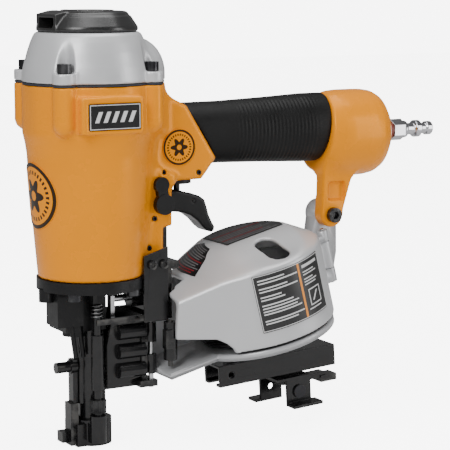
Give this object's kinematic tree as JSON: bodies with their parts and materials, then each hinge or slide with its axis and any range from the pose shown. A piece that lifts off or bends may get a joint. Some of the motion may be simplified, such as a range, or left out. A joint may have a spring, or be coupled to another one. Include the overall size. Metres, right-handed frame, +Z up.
{
  "type": "coil roofing nailer",
  "caption": "Pneumatic coil roofing nailer with a sprung contact foot, round drum magazine, rubber-gripped handle and shingle guide.",
  "frame": {"origin": "centre of the contact foot's underside, on the driver's axis", "axes": "+X along the handle to the air plug, +Y away from the badge side, +Z up the driver's axis to the cap"},
  "size_m": [0.2948, 0.1032, 0.266],
  "materials": {
    "orange_enamel": "gloss",
    "cast_aluminium": "satin",
    "magazine_silver": "satin",
    "gasket_fibre": "matte",
    "zinc_screws": "satin",
    "black_screws": "satin",
    "hard_anodised": "satin",
    "seal_rubber": "matte",
    "bumper_urethane": "satin",
    "grip_rubber": "ribbed matte",
    "badge_black": "gloss",
    "pin_steel": "satin",
    "black_oxide": "satin",
    "black_nylon": "satin",
    "seal_red": "matte",
    "plated_steel": "polished",
    "bright_steel": "ground",
    "piston_alloy": "machined",
    "spring_wire": "satin",
    "tray_nylon": "satin"
  },
  "bodies": {
    "tool": {"main_frame": "orange_enamel", "head_gasket": "gasket_fibre", "cylinder_cap": "cast_aluminium", "cap_bolts": "zinc_screws", "cylinder_sleeve": "hard_anodised", "sleeve_seals": "seal_rubber", "bumper": "bumper_urethane", "grip": "grip_rubber", "badge_plate": "badge_black", "round_badges": "badge_black", "roll_pins": "pin_steel", "valve_body": "black_nylon", "nose_housing": "black_oxide", "nose_tube": "black_oxide", "nose_bolts": "black_screws", "shield_plate": "black_oxide", "shield_screws": "black_screws", "feed_cylinder": "black_oxide", "magazine_base": "magazine_silver", "base_screws": "zinc_screws", "hinge_pin": "pin_steel", "leg_screw": "zinc_screws", "leg_nut": "zinc_screws", "guide_rail": "black_oxide", "rail_screws": "black_screws", "thread_seal": "seal_red", "air_plug": "plated_steel", "door_hinge_pin": "pin_steel", "latch_pivot": "pin_steel", "deflector_bolt": "zinc_screws", "head_valve_spring": "spring_wire", "valve_spring": "spring_wire", "contact_spring": "spring_wire", "feed_spring": "spring_wire"},
    "deflector": {"exhaust_deflector": "black_nylon"},
    "piston_unit": {"piston": "piston_alloy", "piston_ring": "seal_rubber", "driver_blade": "bright_steel"},
    "head_valve_ring": {"head_valve": "black_nylon"},
    "trigger_unit": {"trigger": "black_nylon", "lever_pivot": "pin_steel"},
    "lever": {"trigger_lever": "bright_steel"},
    "stem": {"valve_stem": "bright_steel"},
    "selector": {"mode_selector": "black_nylon"},
    "contact_trip": {"contact_foot": "black_oxide", "contact_rod": "black_oxide"},
    "depth_adjuster": {"depth_wheel": "black_nylon"},
    "feeder": {"feed_piston": "bright_steel"},
    "pawl": {"feed_pawl": "bright_steel"},
    "door": {"feed_door": "black_oxide"},
    "latch": {"cover_latch": "black_oxide"},
    "cover": {"magazine_cover": "magazine_silver", "top_label": "badge_black", "side_label": "badge_black"},
    "tray": {"nail_tray": "tray_nylon"},
    "guide": {"guide_bracket": "black_oxide", "bracket_rivet": "pin_steel", "clamp_plate": "bright_steel"},
    "guide_handle": {"guide_lever": "black_oxide"}
  },
  "joints": [
    {"name": "deflector_turn", "type": "hinge", "parent": "tool", "child": "deflector", "pos_m": [0, 0, 0.258], "axis": [0, 0, 1], "continuous": true},
    {"name": "piston_stroke", "type": "slide", "parent": "tool", "child": "piston_unit", "axis": [0, 0, -1], "range_m": [0, 0.073]},
    {"name": "head_valve_lift", "type": "slide", "parent": "tool", "child": "head_valve_ring", "axis": [0, 0, 1], "range_m": [0, 0.005], "stiffness_N_per_m": 1200, "springref_m": -0.01, "deforming": ["head_valve_spring"]},
    {"name": "trigger_pull", "type": "hinge", "parent": "tool", "child": "trigger_unit", "pos_m": [0.0405, 0, 0.148], "axis": [0, -1, 0], "range_deg": [0, 8], "stiffness_Nm_per_rad": 0.6, "springref_deg": -14.32},
    {"name": "valve_stem_lift", "type": "slide", "parent": "tool", "child": "stem", "axis": [0, 0, 1], "range_m": [0, 0.003], "stiffness_N_per_m": 0.0357, "springref_m": 1, "deforming": ["valve_spring"]},
    {"name": "contact_press", "type": "slide", "parent": "tool", "child": "contact_trip", "axis": [0, 0, 1], "range_m": [0, 0.008], "stiffness_N_per_m": 1500, "springref_m": -0.02, "deforming": ["contact_spring"]},
    {"name": "lever_tilt", "type": "hinge", "parent": "trigger_unit", "child": "lever", "pos_m": [0.068, 0, 0.147], "axis": [0, 1, 0], "range_deg": [0, 8]},
    {"name": "mode_turn", "type": "hinge", "parent": "tool", "child": "selector", "pos_m": [0.0405, -0.0204, 0.148], "axis": [0, 1, 0], "range_deg": [0, 90]},
    {"name": "depth_turn", "type": "hinge", "parent": "contact_trip", "child": "depth_adjuster", "pos_m": [-0.0024, -0.014, 0.026], "axis": [0, 0, 1], "continuous": true},
    {"name": "feed_stroke", "type": "slide", "parent": "tool", "child": "feeder", "axis": [1, 0, 0], "range_m": [0, 0.01], "stiffness_N_per_m": 600, "springref_m": -0.01, "deforming": ["feed_spring"]},
    {"name": "pawl_swing", "type": "hinge", "parent": "feeder", "child": "pawl", "pos_m": [0.0156, -0.0056, 0.055], "axis": [0, 0, 1], "range_deg": [0, 15], "stiffness_Nm_per_rad": 0.02, "springref_deg": -17.19},
    {"name": "door_swing", "type": "hinge", "parent": "tool", "child": "door", "pos_m": [0.035, -0.012, 0.058], "axis": [0, 0, 1], "range_deg": [0, 60]},
    {"name": "latch_swing", "type": "hinge", "parent": "tool", "child": "latch", "pos_m": [0.042, -0.025, 0.064], "axis": [0, 0, -1], "range_deg": [0, 30], "stiffness_Nm_per_rad": 0.08, "springref_deg": -17.19},
    {"name": "cover_swing", "type": "hinge", "parent": "tool", "child": "cover", "pos_m": [0.1659, -0.01, 0.10498], "axis": [-0.2419, 0, 0.9703], "range_deg": [0, 100]},
    {"name": "tray_height", "type": "slide", "parent": "tool", "child": "tray", "axis": [-0.2419, 0, 0.9703], "range_m": [0, 0.014]},
    {"name": "guide_slide", "type": "slide", "parent": "tool", "child": "guide", "axis": [0.998, 0, 0.0628], "range_m": [-0.012, 0.02]},
    {"name": "guide_lock", "type": "hinge", "parent": "guide", "child": "guide_handle", "pos_m": [0.13327, -0.01, 0.02534], "axis": [-0.0628, 0, 0.998], "range_deg": [-15, 45]}
  ],
  "couplings": [
    {"joint": "valve_stem_lift", "follows": "trigger_pull", "m_per_rad": 0.0195},
    {"joint": "lever_tilt", "follows": "contact_press", "rad_per_m": 17.436}
  ]
}
